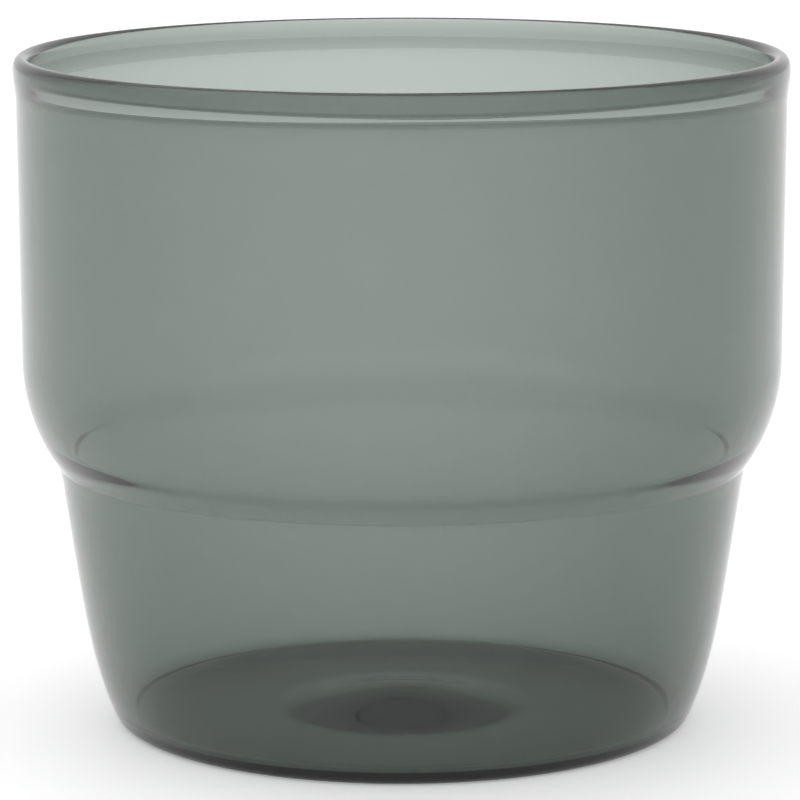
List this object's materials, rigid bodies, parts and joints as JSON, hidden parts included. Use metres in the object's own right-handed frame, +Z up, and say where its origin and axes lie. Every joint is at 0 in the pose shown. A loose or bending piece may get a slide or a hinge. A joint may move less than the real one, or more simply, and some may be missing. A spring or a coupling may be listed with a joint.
{
  "type": "juice glass",
  "caption": "Stackable round juice glass of smoked glass, with a rounded rim, a stepped waist that nests on another's rim and a flat foot to stand on.",
  "frame": {"origin": "middle of the foot, on the axis, in the plane that the glass stands on", "axes": "+Z runs up the axis from the foot to the rim; X and Y are alike, because the glass is round"},
  "size_m": [0.0824, 0.0824, 0.072],
  "materials": {
    "smoked_glass": "clear smoky grey-green glass, fire-polished"
  },
  "bodies": {
    "root": {"tumbler": "smoked_glass"}
  },
  "joints": []
}
